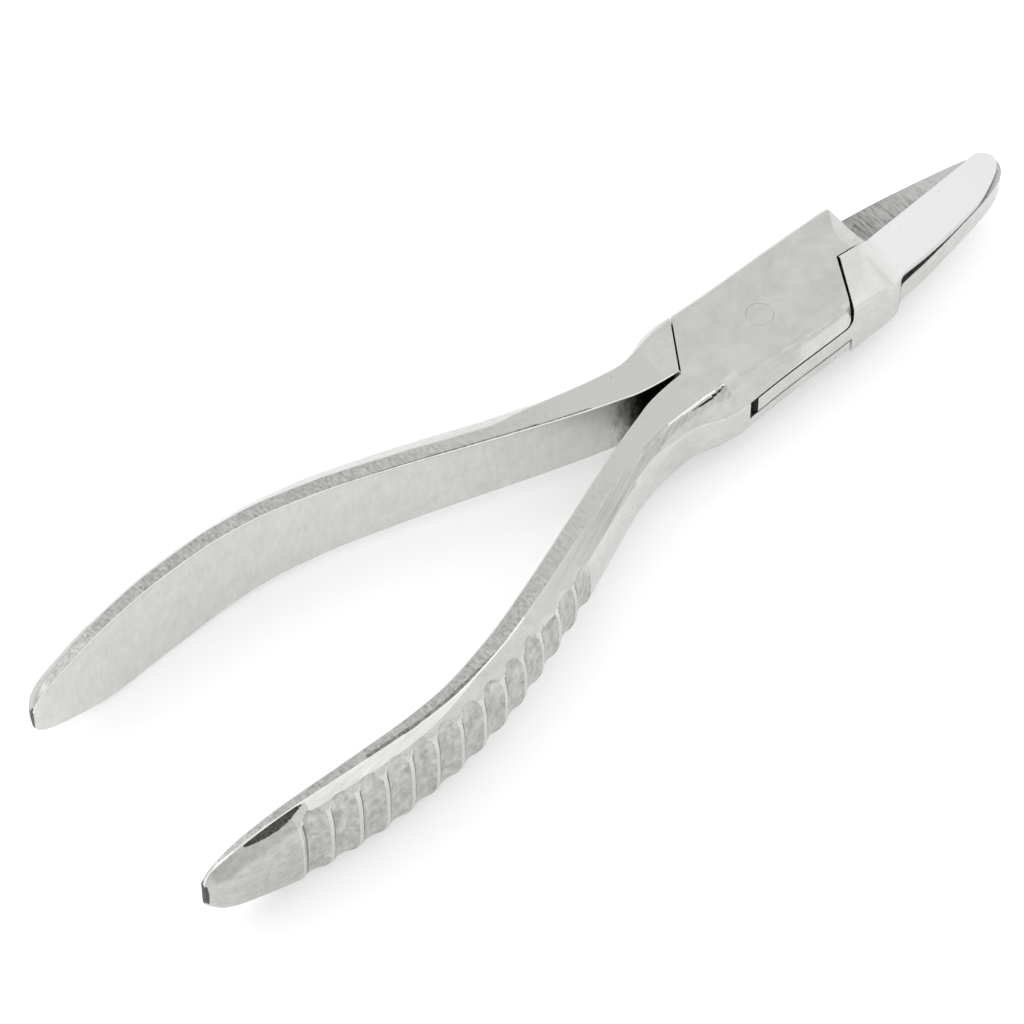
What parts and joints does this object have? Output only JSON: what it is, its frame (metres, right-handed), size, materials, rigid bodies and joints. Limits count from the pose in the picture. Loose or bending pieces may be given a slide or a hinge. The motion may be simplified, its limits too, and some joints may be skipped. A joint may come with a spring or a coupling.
{
  "type": "box-joint pliers",
  "caption": "Bench pliers with a riveted box joint, bowed fluted handles and tapered jaws that overlap, for pressing and closing small jewellery findings.",
  "frame": {"origin": "on the rivet's axis, at the underside of the box", "axes": "+X towards the tips of the jaws, +Y towards the inner half's handle, +Z along the rivet towards the side where the upper jaw lies"},
  "size_m": [0.1592, 0.0464, 0.0165],
  "materials": {
    "slotted_half_steel": "polished stainless steel with a satin grain",
    "inner_half_steel": "polished stainless steel with a satin grain",
    "rivet_pin_steel": "ground flush with the box and polished"
  },
  "bodies": {
    "slotted_half": {"slotted_half": "slotted_half_steel", "rivet_pin": "rivet_pin_steel"},
    "inner_half": {"inner_half": "inner_half_steel"}
  },
  "joints": [
    {"name": "box_joint", "type": "hinge", "parent": "slotted_half", "child": "inner_half", "pos_m": [0, 0, 0], "axis": [0, 0, -1], "range_deg": [0, 24]}
  ]
}
